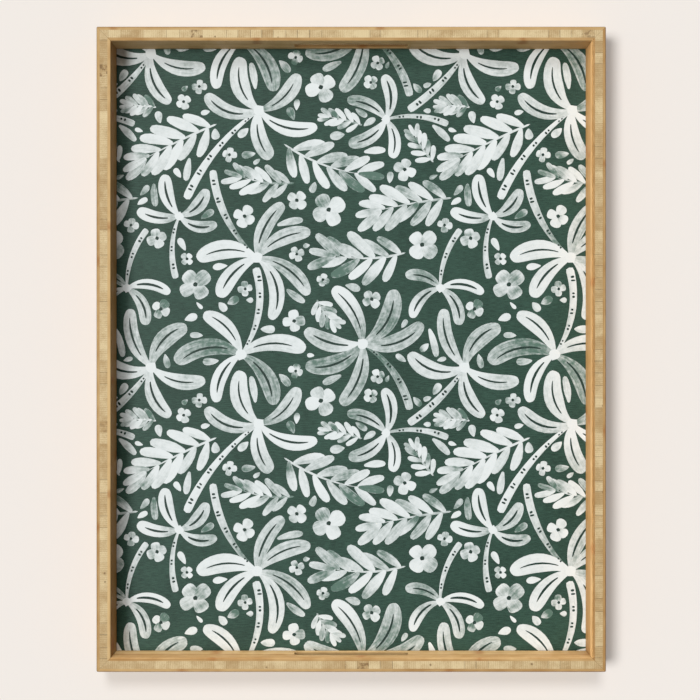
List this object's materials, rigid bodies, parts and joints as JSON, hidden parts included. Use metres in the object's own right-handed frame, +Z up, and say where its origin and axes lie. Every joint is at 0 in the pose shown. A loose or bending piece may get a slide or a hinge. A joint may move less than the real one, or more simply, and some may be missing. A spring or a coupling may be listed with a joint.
{
  "type": "serving tray",
  "caption": "Rectangular bamboo serving tray with mitred three-ply rails, a hand slot in each short side and a printed panel set in a groove.",
  "frame": {"origin": "middle of the tray's underside, on the surface it stands on", "axes": "+Y along the longer side, towards the back rail, +X to the right rail, +Z up"},
  "size_m": [0.45, 0.57, 0.05],
  "materials": {
    "bamboo_face_ply": "satin",
    "bamboo_core": "satin",
    "bamboo_base": "satin",
    "fibre_board": "matte",
    "printed_sheet": "matte",
    "nail_steel": "satin"
  },
  "bodies": {
    "root": {"front_rail_outer_ply": "bamboo_face_ply", "front_rail_core": "bamboo_core", "front_rail_inner_ply": "bamboo_face_ply", "front_rail_groove_lip": "bamboo_face_ply", "right_rail_outer_ply": "bamboo_face_ply", "right_rail_core": "bamboo_core", "right_rail_inner_ply": "bamboo_face_ply", "right_rail_groove_lip": "bamboo_face_ply", "back_rail_outer_ply": "bamboo_face_ply", "back_rail_core": "bamboo_core", "back_rail_inner_ply": "bamboo_face_ply", "back_rail_groove_lip": "bamboo_face_ply", "left_rail_outer_ply": "bamboo_face_ply", "left_rail_core": "bamboo_core", "left_rail_inner_ply": "bamboo_face_ply", "left_rail_groove_lip": "bamboo_face_ply", "base_board": "bamboo_base", "print_board": "fibre_board", "print_sheet": "printed_sheet", "corner_v_nails": "nail_steel"}
  },
  "joints": []
}
